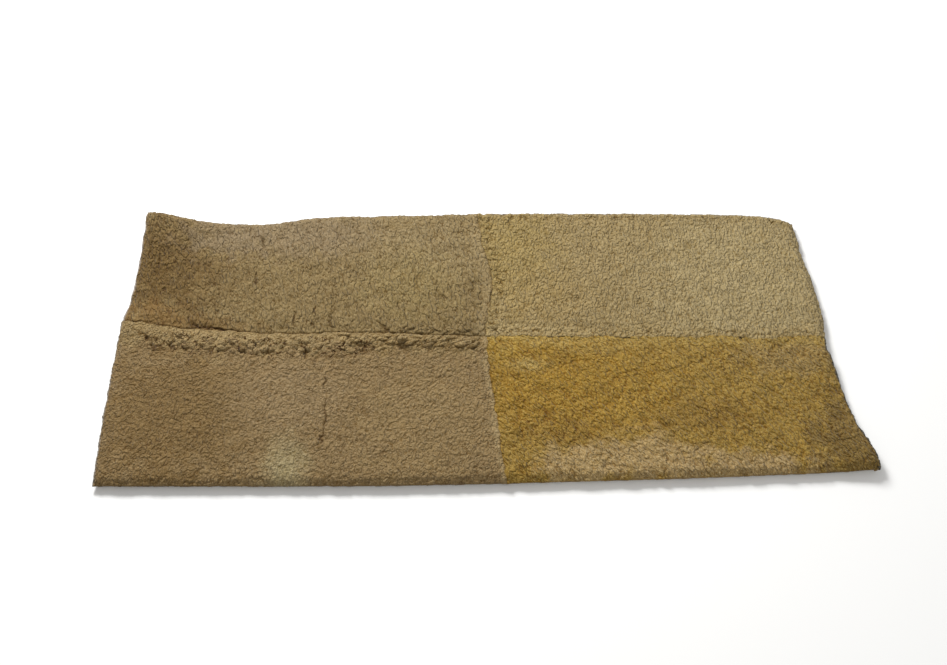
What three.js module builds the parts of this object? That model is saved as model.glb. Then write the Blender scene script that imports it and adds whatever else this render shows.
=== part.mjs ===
// A flat rug pieced from sheared sheepskin: panels of wool-on skin, sewn edge to edge and laid wool side up.
// X runs along the rug, Y from its front edge to its back edge, and Z up from the floor it lies on.
import * as THREE from "three";

const { clamp, lerp, mapLinear } = THREE.MathUtils;

// Driving dimensions, in millimetres.
const SKIN = 2; // tanned skin that carries the wool
const PILE = 16; // sheared wool standing on the skin
const FULL_HEIGHT = SKIN + PILE;
const SEAM_GAP = 0.3; // parting between two sewn panels
const GRID_PITCH = 16.5; // spacing of the points over a panel
const RIM_OVERHANG = 4; // how far the wool hangs out over the cut edge of the skin
const FLOOR_TRIM = 0.8; // a swell lower than this lies flat

// The sheared wool's unevenness, and the single locks that stand in or out along the rim.
const NAP = { height: 1.1, stretch: 1 };
const RIM_LOCKS = { height: 1.8, stretch: 0.45 };

// The puckered seam: fat locks stand up in a band along the back of the front left panel.
const PUCKER = { from: 2, to: 32, rise: 4.5, least: 0.55, stretch: 0.6 };

// How high the wool stands over the underside, by distance from an edge: a row for each ring of points.
const RIM_PROFILE = [
  { inset: 0, height: 8 },
  { inset: 3.5, height: 14.2 },
  { inset: 10, height: 17.4 },
  { inset: 20, height: FULL_HEIGHT },
];
const SEAM_PROFILE = [
  { inset: 0, height: 12.5 },
  { inset: 3.5, height: 16 },
  { inset: 10, height: 17.7 },
  { inset: 20, height: FULL_HEIGHT },
];

// Waves that cross each other and make up the unevenness: their length along X and Y, and where they start.
const WAVES = [
  { alongX: 46, alongY: 88, start: 0.3 },
  { alongX: -70, alongY: 41, start: 1.9 },
  { alongX: 118, alongY: -57, start: 4.1 },
  { alongX: 93, alongY: 130, start: 5.2 },
];

// Swells where the skin stands off the floor: middle, reach along X and Y, and height.
const SWELLS = [
  { x: -618, y: 282, reachX: 95, reachY: 105, height: 26 }, // curled back corner
  { x: -615, y: 22, reachX: 75, reachY: 34, height: 9 }, // left end of the long seam
  { x: 592, y: -40, reachX: 42, reachY: 40, height: 6 }, // right end of the long seam
  { x: 612, y: -215, reachX: 60, reachY: 62, height: 9 }, // front corner on the right
  { x: -320, y: 285, reachX: 85, reachY: 40, height: 4 }, // wave in the back edge
];

// The cut edges and the seams: a row for each bend, joined by a smooth curve.
const BACK_EDGE_LEFT = [
  { x: -611, y: 271 },
  { x: -540, y: 265 },
  { x: -470, y: 261 },
  { x: -390, y: 261 },
  { x: -280, y: 277 },
  { x: -130, y: 283 },
  { x: -7, y: 287 },
];
const BACK_EDGE_RIGHT = [
  { x: -7, y: 287 },
  { x: 165, y: 288 },
  { x: 315, y: 287 },
  { x: 465, y: 284 },
  { x: 540, y: 276 },
  { x: 573, y: 263 },
];
const FRONT_EDGE_LEFT = [
  { x: -595, y: -287 },
  { x: -560, y: -288 },
  { x: -290, y: -288 },
  { x: -140, y: -287 },
  { x: 37, y: -283 },
];
const FRONT_EDGE_RIGHT = [
  { x: 37, y: -283 },
  { x: 165, y: -279 },
  { x: 317, y: -274 },
  { x: 472, y: -267 },
  { x: 612, y: -261 },
];
const LEFT_EDGE_BACK = [
  { x: -611, y: 24 },
  { x: -609, y: 127 },
  { x: -610, y: 190 },
  { x: -611, y: 271 },
];
const LEFT_EDGE_FRONT = [
  { x: -595, y: -287 },
  { x: -600, y: -222 },
  { x: -607, y: -130 },
  { x: -612, y: -40 },
  { x: -611, y: 24 },
];
const RIGHT_EDGE_BACK = [
  { x: 578, y: -6 },
  { x: 584, y: 40 },
  { x: 582, y: 115 },
  { x: 575, y: 180 },
  { x: 573, y: 263 },
];
const RIGHT_EDGE_FRONT = [
  { x: 612, y: -261 },
  { x: 606, y: -218 },
  { x: 593, y: -180 },
  { x: 586, y: -120 },
  { x: 581, y: -52 },
  { x: 575, y: -28 },
  { x: 578, y: -6 },
];
const LONG_SEAM_LEFT = [
  { x: -611, y: 24 },
  { x: -497, y: 12 },
  { x: -412, y: 5 },
  { x: -307, y: 1 },
  { x: -178, y: 3 },
  { x: -45, y: -4 },
  { x: 6, y: -5 },
];
const LONG_SEAM_RIGHT = [
  { x: 6, y: -5 },
  { x: 200, y: -5 },
  { x: 320, y: -7 },
  { x: 440, y: -6 },
  { x: 456, y: -13 },
  { x: 500, y: -9 },
  { x: 540, y: -3 },
  { x: 578, y: -6 },
];
const CROSS_SEAM_BACK = [
  { x: 6, y: -5 },
  { x: 9, y: 38 },
  { x: 17, y: 101 },
  { x: 12, y: 157 },
  { x: 1, y: 208 },
  { x: -7, y: 287 },
];
const CROSS_SEAM_FRONT = [
  { x: 37, y: -283 },
  { x: 28, y: -214 },
  { x: 22, y: -150 },
  { x: 15, y: -95 },
  { x: 9, y: -50 },
  { x: 6, y: -5 },
];

// The panels. side and row say which way each lies from the crossing of the seams, rim names its cut edges.
const PANELS = [
  {
    name: "panel_back_left",
    color: 0x85714c,
    side: -1,
    row: 1,
    rim: ["left", "back"],
    edges: { front: LONG_SEAM_LEFT, back: BACK_EDGE_LEFT, left: LEFT_EDGE_BACK, right: CROSS_SEAM_BACK },
  },
  {
    name: "panel_back_right",
    color: 0x9a865c,
    side: 1,
    row: 1,
    rim: ["right", "back"],
    edges: { front: LONG_SEAM_RIGHT, back: BACK_EDGE_RIGHT, left: CROSS_SEAM_BACK, right: RIGHT_EDGE_BACK },
  },
  {
    name: "panel_front_left",
    color: 0x846e4a,
    side: -1,
    row: -1,
    rim: ["left", "front"],
    puckered: true,
    edges: { front: FRONT_EDGE_LEFT, back: LONG_SEAM_LEFT, left: LEFT_EDGE_FRONT, right: CROSS_SEAM_FRONT },
  },
  {
    name: "panel_front_right",
    color: 0x8d7138,
    side: 1,
    row: -1,
    rim: ["right", "front"],
    edges: { front: FRONT_EDGE_RIGHT, back: LONG_SEAM_RIGHT, left: CROSS_SEAM_FRONT, right: RIGHT_EDGE_FRONT },
  },
];

// Repeatable unevenness, from -1 to 1. stretch makes it coarser or finer.
function unevenness(x, y, stretch) {
  const heights = WAVES.map(({ alongX, alongY, start }) => {
    const turns = (x / alongX + y / alongY) / stretch;
    return Math.sin(2 * Math.PI * turns + start);
  });
  return heights.reduce((sum, height) => sum + height, 0) / WAVES.length;
}

// Height of the skin's underside over the floor.
function floorLift(x, y) {
  const total = SWELLS.reduce((sum, swell) => {
    const dx = (x - swell.x) / swell.reachX;
    const dy = (y - swell.y) / swell.reachY;
    return sum + swell.height * Math.exp(-dx * dx - dy * dy);
  }, 0);
  return Math.max(0, total - FLOOR_TRIM);
}

// Height of the wool at a distance from an edge, along the rows of that edge's profile.
function profileHeight(profile, distance) {
  const next = profile.findIndex((row) => row.inset > distance);
  if (next < 0) return FULL_HEIGHT;
  const [a, b] = [profile[next - 1], profile[next]];
  return mapLinear(distance, a.inset, b.inset, a.height, b.height);
}

// Shares of the way across a panel: the rings along both edges, with even steps of about the grid's pitch between.
function stations(length) {
  const rings = RIM_PROFILE.slice(0, -1).map((row) => row.inset);
  const innermost = rings.at(-1);
  const inner = length - 2 * innermost;
  const steps = Math.round(inner / GRID_PITCH);
  const even = Array.from({ length: steps - 1 }, (_, step) => innermost + (inner * (step + 1)) / steps);
  const far = rings.map((inset) => length - inset).reverse();
  return [...rings, ...even, ...far].map((distance) => distance / length);
}

// Whole numbers from one up or down to another, without the last.
function steps(from, to) {
  const way = Math.sign(to - from);
  return Array.from({ length: Math.abs(to - from) }, (_, step) => from + way * step);
}

// The corners of both triangles of a four-sided face.
function quad(a, b, c, d) {
  return [a, b, c, a, c, d];
}

// One skin with its wool: a closed slab between four edge curves, rounded at the rim and drawn in at the seams.
class Panel {
  constructor({ edges, side, row, rim, puckered = false }) {
    const shift = new THREE.Vector2(side, row).multiplyScalar(SEAM_GAP / 2);
    const curve = (rows) => new THREE.SplineCurve(rows.map(({ x, y }) => new THREE.Vector2(x, y).add(shift)));
    this.front = curve(edges.front);
    this.back = curve(edges.back);
    this.left = curve(edges.left);
    this.right = curve(edges.right);
    this.rim = rim;
    this.puckered = puckered;
    this.length = this.front.getLength();
    this.width = this.left.getLength();
    this.columns = stations(this.length);
    this.rows = stations(this.width);
    this.lastColumn = this.columns.length - 1;
    this.lastRow = this.rows.length - 1;
  }

  // A point of the panel in plan, blended from its four edges.
  plan(u, v) {
    const across = this.front.getPointAt(u).lerp(this.back.getPointAt(u), v);
    const along = this.left.getPointAt(v).lerp(this.right.getPointAt(v), u);
    const frontChord = this.front.getPointAt(0).lerp(this.front.getPointAt(1), u);
    const backChord = this.back.getPointAt(0).lerp(this.back.getPointAt(1), u);
    return across.add(along).sub(frontChord.lerp(backChord, v));
  }

  // Distance in from each edge.
  insets(u, v) {
    return {
      left: u * this.length,
      right: (1 - u) * this.length,
      front: v * this.width,
      back: (1 - v) * this.width,
    };
  }

  // Height of the wool over the underside, from the profiles of all four edges, the nap and the puckered seam.
  woolHeight(insets, point) {
    const share = Object.entries(insets).reduce((product, [edge, distance]) => {
      const profile = this.rim.includes(edge) ? RIM_PROFILE : SEAM_PROFILE;
      return product * (profileHeight(profile, distance) / FULL_HEIGHT);
    }, 1);
    const nap = NAP.height * unevenness(point.x, point.y, NAP.stretch);
    return share * (FULL_HEIGHT + nap) + this.puckerHeight(insets.back, point);
  }

  // Fat locks along a puckered seam, high in the middle of their band and gone past it.
  puckerHeight(distance, point) {
    const { from, to, rise, least, stretch } = PUCKER;
    if (!this.puckered || distance < from || distance > to) return 0;
    const band = Math.sin((Math.PI * (distance - from)) / (to - from));
    const lock = lerp(least, 1, (1 + unevenness(point.x, point.y, stretch)) / 2);
    return rise * band * lock;
  }

  // A point of the wool's surface. Single locks stand in and out along a cut edge.
  woolPoint(i, j) {
    const [u, v] = [this.columns[i], this.rows[j]];
    const point = this.plan(u, v);
    const z = floorLift(point.x, point.y) + this.woolHeight(this.insets(u, v), point);
    const lock = RIM_LOCKS.height * unevenness(point.x, point.y, RIM_LOCKS.stretch);
    const onSide = (i === 0 && this.rim.includes("left")) || (i === this.lastColumn && this.rim.includes("right"));
    const onRow = (j === 0 && this.rim.includes("front")) || (j === this.lastRow && this.rim.includes("back"));
    return new THREE.Vector3(point.x + (onSide ? lock : 0), point.y + (onRow ? lock : 0), z);
  }

  // A point of the skin, which stops short of the wool at a cut edge.
  skinPoint(i, j, height) {
    const shy = (edge) => (this.rim.includes(edge) ? RIM_OVERHANG : 0);
    const u = clamp(this.columns[i], shy("left") / this.length, 1 - shy("right") / this.length);
    const v = clamp(this.rows[j], shy("front") / this.width, 1 - shy("back") / this.width);
    const point = this.plan(u, v);
    return new THREE.Vector3(point.x, point.y, floorLift(point.x, point.y) + height);
  }

  // Grid places once round the border, anticlockwise seen from above.
  border() {
    return [
      ...steps(0, this.lastColumn).map((i) => [i, 0]),
      ...steps(0, this.lastRow).map((j) => [this.lastColumn, j]),
      ...steps(this.lastColumn, 0).map((i) => [i, this.lastRow]),
      ...steps(this.lastRow, 0).map((j) => [0, j]),
    ];
  }

  woolFaces() {
    const wool = (i, j) => this.woolPoint(i, j);
    return steps(0, this.lastColumn).flatMap((i) =>
      steps(0, this.lastRow).flatMap((j) => quad(wool(i, j), wool(i + 1, j), wool(i + 1, j + 1), wool(i, j + 1))),
    );
  }

  // The wool's rim turns in to the skin, and the skin's cut edge goes down to its underside.
  rimFaces() {
    const border = this.border();
    const rings = [
      border.map(([i, j]) => this.woolPoint(i, j)),
      border.map(([i, j]) => this.skinPoint(i, j, SKIN)),
      border.map(([i, j]) => this.skinPoint(i, j, 0)),
    ];
    return steps(1, rings.length).flatMap((ring) => {
      const [upper, lower] = [rings[ring - 1], rings[ring]];
      return border.flatMap((_, k) => {
        const next = (k + 1) % border.length;
        return quad(upper[next], upper[k], lower[k], lower[next]);
      });
    });
  }

  // The underside is plainer than the wool, so it takes in every second grid line, and both borders.
  undersideFaces() {
    const sparse = (last) => [...steps(0, last).filter((index) => index % 2 === 0), last];
    const columns = sparse(this.lastColumn);
    const rows = sparse(this.lastRow);
    return steps(1, columns.length).flatMap((a) =>
      steps(1, rows.length).flatMap((b) => this.undersideCell(columns[a - 1], columns[a], rows[b - 1], rows[b])),
    );
  }

  // One cell of the underside, facing down. A side on the border takes in all of the border's points.
  undersideCell(i0, i1, j0, j1) {
    const side = (onBorder, from, to) => (onBorder ? steps(from, to) : [from]);
    const loop = [
      ...side(j0 === 0, i0, i1).map((i) => [i, j0]),
      ...side(i1 === this.lastColumn, j0, j1).map((j) => [i1, j]),
      ...side(j1 === this.lastRow, i1, i0).map((i) => [i, j1]),
      ...side(i0 === 0, j1, j0).map((j) => [i0, j]),
    ];
    const shares = loop.map(([i, j]) => new THREE.Vector2(this.columns[i], this.rows[j]));
    const triangles = THREE.ShapeUtils.triangulateShape(shares, []);
    return triangles.flatMap(([a, b, c]) => [a, c, b].map((corner) => this.skinPoint(...loop[corner], 0)));
  }

  geometry() {
    const corners = [...this.woolFaces(), ...this.rimFaces(), ...this.undersideFaces()];
    const geometry = new THREE.BufferGeometry().setFromPoints(corners);
    geometry.computeVertexNormals();
    return geometry;
  }
}

const rug = new THREE.Group();
PANELS.forEach(({ name, color, ...cut }) => {
  const wool = new THREE.MeshStandardMaterial({ color, roughness: 0.95, metalness: 0 });
  const mesh = new THREE.Mesh(new Panel(cut).geometry(), wool);
  mesh.name = name;
  rug.add(mesh);
});

// The rug's middle stands over the origin, and its underside on the floor.
const bounds = new THREE.Box3().setFromObject(rug);
const middle = bounds.getCenter(new THREE.Vector3());
rug.children.forEach((mesh) => mesh.geometry.translate(-middle.x, -middle.y, -bounds.min.z));

export default rug;
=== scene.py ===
"""A pieced sheepskin rug: the sheared wool and the skins of its panels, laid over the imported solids."""

import logging
import math
from dataclasses import dataclass, field
from enum import Enum

import bmesh
import bpy
import numpy as np
from mathutils import Matrix, Vector
from mathutils.bvhtree import BVHTree


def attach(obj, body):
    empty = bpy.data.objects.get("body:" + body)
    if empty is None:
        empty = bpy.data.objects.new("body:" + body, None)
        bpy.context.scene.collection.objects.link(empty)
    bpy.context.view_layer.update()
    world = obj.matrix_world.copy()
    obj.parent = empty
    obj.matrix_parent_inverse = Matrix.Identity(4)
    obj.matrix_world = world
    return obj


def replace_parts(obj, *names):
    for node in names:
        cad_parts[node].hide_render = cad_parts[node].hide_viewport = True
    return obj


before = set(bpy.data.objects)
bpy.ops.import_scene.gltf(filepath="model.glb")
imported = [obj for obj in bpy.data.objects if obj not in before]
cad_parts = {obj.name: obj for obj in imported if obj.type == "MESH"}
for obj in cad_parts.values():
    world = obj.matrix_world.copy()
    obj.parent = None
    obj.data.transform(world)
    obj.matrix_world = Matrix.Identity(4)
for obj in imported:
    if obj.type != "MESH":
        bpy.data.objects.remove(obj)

Array = np.ndarray
Colour = tuple[float, float, float]
Socket = bpy.types.NodeSocket

LOG = logging.getLogger("rug")

# Lengths in this script are metres, and those of the wool's own features are millimetres.
MM = 0.001
WELD = 1e-6
SKIN_THICKNESS = 2.0 * MM
RIM_OVERHANG = 4.0 * MM
WOOL_PITCH = 1.5 * MM
SKIN_PITCH = 9.0 * MM


class Side(Enum):
    """The four sides of a panel, seen from the rug's front edge."""

    FRONT = "front"
    BACK = "back"
    LEFT = "left"
    RIGHT = "right"


def tint(code: str) -> Colour:
    """Gives the linear colour for a hexadecimal one as a picture shows it.

    Args:
        code: Six hexadecimal digits, red first.

    Returns:
        Red, green and blue from 0 to 1, linear.
    """
    shown = [int(code[k : k + 2], 16) / 255 for k in (0, 2, 4)]
    linear = [c / 12.92 if c <= 0.04045 else ((c + 0.055) / 1.055) ** 2.4 for c in shown]
    return tuple(linear)


def ramp(values: Array, low: float, high: float) -> Array:
    """Gives a smooth step from 0 at low to 1 at high.

    Args:
        values: Numbers to place on the step.
        low: Where the step starts.
        high: Where the step ends.

    Returns:
        The step's height for each value.
    """
    share = np.clip((values - low) / (high - low), 0.0, 1.0)
    return share * share * (3.0 - 2.0 * share)


def soften(grid: Array, reach: int, passes: int) -> Array:
    """Evens out a grid of heights by averaging along both of its directions.

    Args:
        grid: Heights on an even grid.
        reach: How many neighbours on each side are averaged.
        passes: How often that is done.

    Returns:
        The softened heights.
    """
    kernel = np.full(2 * reach + 1, 1.0 / (2 * reach + 1))
    for _ in range(passes):
        for axis in (0, 1):
            widths = [(reach, reach) if axis == k else (0, 0) for k in (0, 1)]
            wide = np.pad(grid, widths, mode="edge")
            grid = np.apply_along_axis(np.convolve, axis, wide, kernel, mode="valid")
    return grid


@dataclass
class Cells:
    """Where points lie among scattered cells, in shares of the cells' spacing."""

    nearest: Array
    border: Array
    value: Array


class Unevenness:
    """Repeatable noise over the rug's plane, either smooth or in cells."""

    TABLE = 256
    JITTER = 0.42
    GAIN = 1.4
    FAR = 9.0

    def __init__(self, seed: int) -> None:
        """Draws the tables that the noise looks up.

        Args:
            seed: Chooses the pattern.
        """
        draw = np.random.default_rng(seed)
        self.value, self.move_x, self.move_y = draw.uniform(-1.0, 1.0, (3, self.TABLE, self.TABLE))
        turns = draw.uniform(0.0, 2 * math.pi, (self.TABLE, self.TABLE))
        self.slope_x, self.slope_y = np.cos(turns), np.sin(turns)

    def _at(self, table: Array, i: Array, j: Array) -> Array:
        """Looks up a table that repeats in both directions."""
        return table[i % self.TABLE, j % self.TABLE]

    def smooth(self, x: Array, y: Array, size: float) -> Array:
        """Gives smooth noise from about -1 to 1, which is zero along winding lines.

        Args:
            x: Places along the rug.
            y: Places across the rug.
            size: Distance over which the noise changes, in the same unit.

        Returns:
            The noise at each place.
        """
        i, j = np.floor(x / size).astype(int), np.floor(y / size).astype(int)
        s, t = x / size - i, y / size - j

        def rise(di: int, dj: int) -> Array:
            """Follows the slope from one corner of the square that a place lies in."""
            slope_x = self._at(self.slope_x, i + di, j + dj)
            slope_y = self._at(self.slope_y, i + di, j + dj)
            return slope_x * (s - di) + slope_y * (t - dj)

        along, over = ramp(s, 0.0, 1.0), ramp(t, 0.0, 1.0)
        near = rise(0, 0) * (1 - along) + rise(1, 0) * along
        far = rise(0, 1) * (1 - along) + rise(1, 1) * along
        return self.GAIN * (near * (1 - over) + far * over)

    def cells(self, x: Array, y: Array) -> Cells:
        """Finds the cell that each point lies in, with cells one unit apart.

        Args:
            x: Places along the first direction, in cells.
            y: Places along the second direction, in cells.

        Returns:
            Distance to the cell's middle and to its border, and a value from -1 to 1 that the cell has.
        """
        i, j = np.floor(x).astype(int), np.floor(y).astype(int)
        nearest, second = np.full(x.shape, self.FAR), np.full(x.shape, self.FAR)
        value = np.zeros(x.shape)
        for di in (-1, 0, 1):
            for dj in (-1, 0, 1):
                middle_x = i + di + 0.5 + self.JITTER * self._at(self.move_x, i + di, j + dj)
                middle_y = j + dj + 0.5 + self.JITTER * self._at(self.move_y, i + di, j + dj)
                distance = np.hypot(x - middle_x, y - middle_y)
                closer = distance < nearest
                second = np.where(closer, nearest, np.minimum(second, distance))
                value = np.where(closer, self._at(self.value, i + di, j + dj), value)
                nearest = np.minimum(nearest, distance)
        return Cells(nearest, second - nearest, value)


@dataclass
class Relief:
    """The wool's height over its mean level, in millimetres, how much painted shade falls in its hollows,
    and how torn it is, from 0 to 1.
    """

    height: Array
    hollow: Array
    torn: Array


@dataclass(frozen=True)
class Fleece:
    """How sheared wool lies: clumps of staples with cracks between them, and a finer grain, with painted
    shade in the cracks and the grain's grooves. Millimetres.
    """

    lay_deg: float
    clump: float
    stretch: float
    clump_height: float
    crack_depth: float
    crack_share: float
    crack_width: float = 0.11
    # Painted shade in the cracks, from 0 to 1.
    crack_shade: float = 0.35
    grain: float = 5.2
    grain_stretch: float = 1.3
    grain_height: float = 1.0
    # Painted shade in the grain's grooves, from 0 to 1.
    grain_shade: float = 0.15
    waver: float = 3.2
    waver_size: float = 13.0
    bend: float = 14.0
    bend_size: float = 120.0
    swell: float = 0.8
    swell_size: float = 42.0

    # The noise is read this far off for the grain and the cracks, so that they don't follow the clumps.
    GRAIN_SHIFT = 900.0
    CRACK_SHIFT = 300.0
    CRACK_SCALE = 1.3
    CRACK_SPREAD = 1.1
    REGION_SCALE = 4.0
    REGION_SPREAD = 0.6
    DOME_TOP = 0.6
    DOME_MEAN = 0.5
    GRAIN_LINE = 0.12

    def _dome(self, wave: Array) -> Array:
        """Gives the height of soft swellings on both sides of the lines where a wave is zero."""
        return ramp(np.abs(wave), 0.0, self.DOME_TOP) - self.DOME_MEAN

    def relief(self, x: Array, y: Array, noise: Unevenness) -> Relief:
        """Works out the wool's surface.

        Args:
            x: Places along the rug, in millimetres.
            y: Places across the rug, in millimetres.
            noise: The panel's own unevenness.

        Returns:
            The wool's relief at each place.
        """
        bent_x = x + self.waver * noise.smooth(x, y, self.waver_size)
        bent_x = bent_x + self.bend * noise.smooth(x, y, self.bend_size)
        bent_y = y + self.waver * noise.smooth(y, x, self.waver_size)
        bent_y = bent_y + self.bend * noise.smooth(y, x, self.bend_size)
        turn = math.radians(self.lay_deg)
        along = bent_x * math.cos(turn) + bent_y * math.sin(turn)
        across = bent_y * math.cos(turn) - bent_x * math.sin(turn)
        clump = noise.smooth(along / self.stretch, across, self.clump)
        grain = noise.smooth(along / self.grain_stretch + self.GRAIN_SHIFT, across, self.grain)
        near = noise.smooth(along / self.stretch + self.CRACK_SHIFT, across, self.CRACK_SCALE * self.clump)
        region = noise.smooth(y, x, self.REGION_SCALE * self.clump)
        opened = self.crack_share + self.CRACK_SPREAD * near + self.REGION_SPREAD * region
        crack = np.clip(opened, 0.0, 1.0) * np.exp(-((clump / self.crack_width) ** 2))
        height = self.swell * noise.smooth(x + y, x - y, self.swell_size)
        height = height + self.clump_height * self._dome(clump) + self.grain_height * self._dome(grain)
        # The cracks and the grain's grooves are darkened: painted shade.
        groove = np.exp(-((grain / self.GRAIN_LINE) ** 2))
        hollow = np.clip(self.crack_shade * crack + self.grain_shade * groove, 0.0, 1.0)
        return Relief(height - self.crack_depth * crack, hollow, np.zeros(x.shape))


@dataclass(frozen=True)
class CurlBand:
    """A band of fat curled locks along one side of a panel. Millimetres."""

    side: Side
    start: float
    end: float
    lump: float
    height: float
    depth: float
    # How strongly the finish paints shade into tears between the locks.
    torn: float = 0.0
    ragged: float = 9.0
    x_from: float = -1000.0
    x_to: float = 1000.0
    x_fade: float = 40.0

    # The noise is read this far off for the second direction of the curl.
    CURL_SHIFT = 500.0
    # Sizes in shares of a lump's or of the band's own, and amounts from 0 to 1.
    RAG_SCALE = 2.2
    RISE = (-0.5, 0.2)
    FALL = (-0.5, 0.3)
    CURL = 0.5
    CURL_SCALE = 0.9
    LENGTHEN = 1.25
    DOME_TOP = 0.5
    DOME_REACH = 0.6
    DOME_SPREAD = 0.3
    OPEN_MEAN = 0.4
    OPEN_SPREAD = 1.3
    OPEN_SCALE = 1.3
    DEEP_REACH = 0.4
    GAP_WIDTH = 0.14
    CREASE_WIDTH = 0.12
    # Painted shade in the creases round each lump.
    CREASE_SHADE = 0.25

    def share(self, x: Array, y: Array, inset: Array, noise: Unevenness) -> Array:
        """Says how much of the band shows at each place.

        Args:
            x: Places along the rug.
            y: Places across the rug.
            inset: Distance in from the band's side.
            noise: The panel's own unevenness.

        Returns:
            The band's share, from 0 to 1.
        """
        edge = inset + self.ragged * noise.smooth(x, y, self.RAG_SCALE * self.lump)
        rise = ramp(inset, *(self.start + share * self.lump for share in self.RISE))
        fall = 1 - ramp(edge, *(self.end + share * self.lump for share in self.FALL))
        left = ramp(x, self.x_from - self.x_fade, self.x_from)
        right = 1 - ramp(x, self.x_to, self.x_to + self.x_fade)
        return rise * fall * (left * right)

    def relief(self, x: Array, y: Array, inset: Array, noise: Unevenness) -> Relief:
        """Works out what the curled locks add to the wool's surface and to its painted shade.

        Args:
            x: Places along the rug.
            y: Places across the rug.
            inset: Distance in from the band's side.
            noise: The panel's own unevenness.

        Returns:
            The locks' relief at each place.
        """
        curl = self.CURL * self.lump
        curl_size = self.CURL_SCALE * self.lump
        bent_x = x + curl * noise.smooth(x, y, curl_size)
        bent_y = y + curl * noise.smooth(y + self.CURL_SHIFT, x, curl_size)
        lumps = noise.cells(bent_x / (self.LENGTHEN * self.lump), bent_y / self.lump)
        dome = self.DOME_TOP - (lumps.nearest / self.DOME_REACH) ** 2 + self.DOME_SPREAD * lumps.value
        wide = self.end - self.start
        away = (inset - self.start - wide / 2) / (self.DEEP_REACH * wide)
        opened = self.OPEN_MEAN + self.OPEN_SPREAD * noise.smooth(x, y, self.OPEN_SCALE * self.lump)
        deep = np.clip(opened, 0.0, 1.0) * np.exp(-(away**2))
        # The gaps between lumps and the creases round them are darkened: painted shade.
        gap = deep * np.exp(-((lumps.border / self.GAP_WIDTH) ** 2))
        crease = np.exp(-((lumps.border / self.CREASE_WIDTH) ** 2))
        share = self.share(x, y, inset, noise)
        hollow = np.clip(gap + self.CREASE_SHADE * crease, 0.0, 1.0)
        return Relief(share * (self.height * dome - self.depth * gap), share * hollow, self.torn * share)


@dataclass(frozen=True)
class Parting:
    """A line where the wool has come apart. Millimetres."""

    points: tuple[tuple[float, float], ...]
    width: float
    depth: float

    # How far the line wavers, and over what distance.
    WAVERS = ((6.0, 17.0), (3.0, 7.0))
    WIDTH_SPREAD = 1.2
    WIDTH_SIZE = 12.0
    WIDTH_LIMITS = (0.4, 2.0)
    WHOLE = 0.85
    BREAK_SIZE = 22.0
    FAR = 1e6

    def share(self, x: Array, y: Array, noise: Unevenness) -> Array:
        """Says how deep in the parting each place is, from 0 to 1.

        Args:
            x: Places along the rug.
            y: Places across the rug.
            noise: The panel's own unevenness, which makes the line waver.

        Returns:
            The parting's share at each place.
        """
        bent_x = x + sum(push * noise.smooth(x, y, size) for push, size in self.WAVERS)
        bent_y = y + sum(push * noise.smooth(y, x, size) for push, size in self.WAVERS)
        nearest = np.full(x.shape, self.FAR)
        for (ax, ay), (bx, by) in zip(self.points, self.points[1:]):
            run_x, run_y = bx - ax, by - ay
            along = ((bent_x - ax) * run_x + (bent_y - ay) * run_y) / (run_x**2 + run_y**2)
            share = np.clip(along, 0.0, 1.0)
            distance = np.hypot(bent_x - ax - share * run_x, bent_y - ay - share * run_y)
            nearest = np.minimum(nearest, distance)
        varied = 1.0 + self.WIDTH_SPREAD * noise.smooth(x, y, self.WIDTH_SIZE)
        width = self.width * np.clip(varied, *self.WIDTH_LIMITS)
        broken = np.clip(self.WHOLE + noise.smooth(x, y, self.BREAK_SIZE), 0.0, 1.0)
        return broken * np.exp(-((nearest / width) ** 2))


@dataclass(frozen=True)
class Blotch:
    """A patch of the wool in another shade, soft and ragged at its edge. Millimetres."""

    x: float
    y: float
    reach_x: float
    reach_y: float
    colour: Colour
    strength: float
    ragged: float = 0.55
    rag_size: float = 24.0
    edge: float = 0.45

    # The finer of the two sizes of rag, in shares of the coarser one.
    FINE_SHARE = 0.5
    FINE_SCALE = 0.4

    def share(self, x: Array, y: Array, noise: Unevenness) -> Array:
        """Says how strongly the patch's shade shows at each place.

        Args:
            x: Places along the rug.
            y: Places across the rug.
            noise: The panel's own unevenness.

        Returns:
            The patch's share, from 0 to its strength.
        """
        distance = np.hypot((x - self.x) / self.reach_x, (y - self.y) / self.reach_y)
        fine = noise.smooth(y, x, self.FINE_SCALE * self.rag_size)
        rough = noise.smooth(x, y, self.rag_size) + self.FINE_SHARE * fine
        return self.strength * (1 - ramp(distance + self.ragged * rough, 1 - self.edge, 1 + self.edge))


@dataclass(frozen=True)
class SeamWaver:
    """How the wool of two panels pushes to and fro over the seam between them. Millimetres."""

    push: float = 2.6
    sizes: tuple[float, float] = (15.0, 44.0)
    reach: float = 26.0
    rim_fade: float = 18.0
    seed: int = 71
    across_shift: float = 700.0

    def shifts(self, x: Array, y: Array, seam: Array, rim: Array) -> Array:
        """Gives how far the wool moves in plan, alike on both sides of a seam.

        Args:
            x: Places along the rug.
            y: Places across the rug.
            seam: Distance in from the nearest seam.
            rim: Distance in from the nearest cut edge.

        Returns:
            The shifts along and across the rug.
        """
        noise = Unevenness(self.seed)
        share = (1 - ramp(seam, 0.0, self.reach)) * ramp(rim, 0.0, self.rim_fade)
        along = sum(noise.smooth(x, y, size) for size in self.sizes)
        across = sum(noise.smooth(y + self.across_shift, x, size) for size in self.sizes)
        return self.push * share[..., None] * np.dstack([along, across])


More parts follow.
